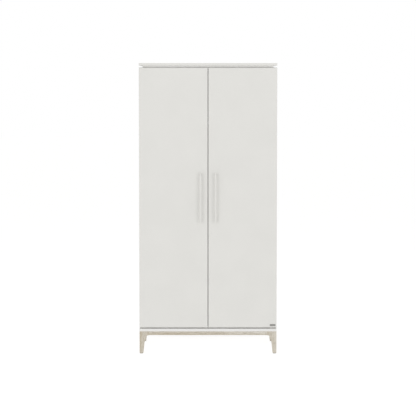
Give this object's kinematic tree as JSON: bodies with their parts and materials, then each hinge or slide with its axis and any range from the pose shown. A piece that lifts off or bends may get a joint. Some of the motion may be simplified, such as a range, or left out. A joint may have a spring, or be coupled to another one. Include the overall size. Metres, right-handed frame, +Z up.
{
  "type": "wardrobe with doors",
  "caption": "Tall free-standing wardrobe with full-height hinged doors on concealed hinges, slim bar handles, shelves and a clothes rail, on a low tapered-leg wooden frame.",
  "frame": {"origin": "on the floor, at the centre of the bounding box, handles included", "axes": "+Z up; the doors face -Y and the back faces +Y; +X is to the viewer's right seen from the front"},
  "size_m": [0.945, 0.58, 2],
  "materials": {
    "white_lacquer": "satin lacquer on fibreboard",
    "white_melamine": "melamine facing on chipboard",
    "white_hardboard": "painted hardboard",
    "oiled_oak": "white-oiled oak, satin",
    "white_powder_coat": "satin powder coat",
    "nickel_plate": "nickel plated steel",
    "zinc_plate": "zinc plated steel",
    "chrome_tube": "chrome plated steel tube",
    "white_plastic": "extruded plastic",
    "grey_felt": "pressed felt pad",
    "satin_steel": "satin plate, blank"
  },
  "bodies": {
    "carcass": {"leg_front_left": "oiled_oak", "leg_front_right": "oiled_oak", "leg_back_left": "oiled_oak", "leg_back_right": "oiled_oak", "glide_front_left": "grey_felt", "glide_front_right": "grey_felt", "glide_back_left": "grey_felt", "glide_back_right": "grey_felt", "frame_rail_front": "oiled_oak", "frame_rail_back": "oiled_oak", "frame_rail_left": "oiled_oak", "frame_rail_right": "oiled_oak", "bottom_panel": "white_lacquer", "top_panel": "white_lacquer", "top_spacer": "white_lacquer", "carcass_top": "white_melamine", "carcass_floor": "white_melamine", "side_panel_left": "white_lacquer", "side_panel_right": "white_lacquer", "back_board_left": "white_hardboard", "back_board_right": "white_hardboard", "back_joining_strip": "white_plastic", "lower_shelf": "white_melamine", "middle_shelf": "white_melamine", "hat_shelf": "white_melamine", "clothes_rail": "chrome_tube", "rail_socket_left": "nickel_plate", "rail_socket_right": "nickel_plate", "wall_bracket_left": "zinc_plate", "wall_bracket_right": "zinc_plate", "hinge_arm_left_1": "nickel_plate", "hinge_arm_left_2": "nickel_plate", "hinge_arm_left_3": "nickel_plate", "hinge_arm_left_4": "nickel_plate", "hinge_arm_right_1": "nickel_plate", "hinge_arm_right_2": "nickel_plate", "hinge_arm_right_3": "nickel_plate", "hinge_arm_right_4": "nickel_plate", "hinge_plate_left_1": "nickel_plate", "hinge_plate_left_2": "nickel_plate", "hinge_plate_left_3": "nickel_plate", "hinge_plate_left_4": "nickel_plate", "hinge_plate_right_1": "nickel_plate", "hinge_plate_right_2": "nickel_plate", "hinge_plate_right_3": "nickel_plate", "hinge_plate_right_4": "nickel_plate"},
    "left_door": {"door_left": "white_lacquer", "handle_left": "white_powder_coat", "hinge_cup_left_1": "nickel_plate", "hinge_cup_left_2": "nickel_plate", "hinge_cup_left_3": "nickel_plate", "hinge_cup_left_4": "nickel_plate"},
    "right_door": {"door_right": "white_lacquer", "handle_right": "white_powder_coat", "blank_nameplate": "satin_steel", "hinge_cup_right_1": "nickel_plate", "hinge_cup_right_2": "nickel_plate", "hinge_cup_right_3": "nickel_plate", "hinge_cup_right_4": "nickel_plate"}
  },
  "joints": [
    {"name": "left_door_hinge", "type": "hinge", "parent": "carcass", "child": "left_door", "pos_m": [-0.4635, -0.251, 0], "axis": [0, 0, -1], "range_deg": [0, 105]},
    {"name": "right_door_hinge", "type": "hinge", "parent": "carcass", "child": "right_door", "pos_m": [0.4635, -0.251, 0], "axis": [0, 0, 1], "range_deg": [0, 105]}
  ]
}
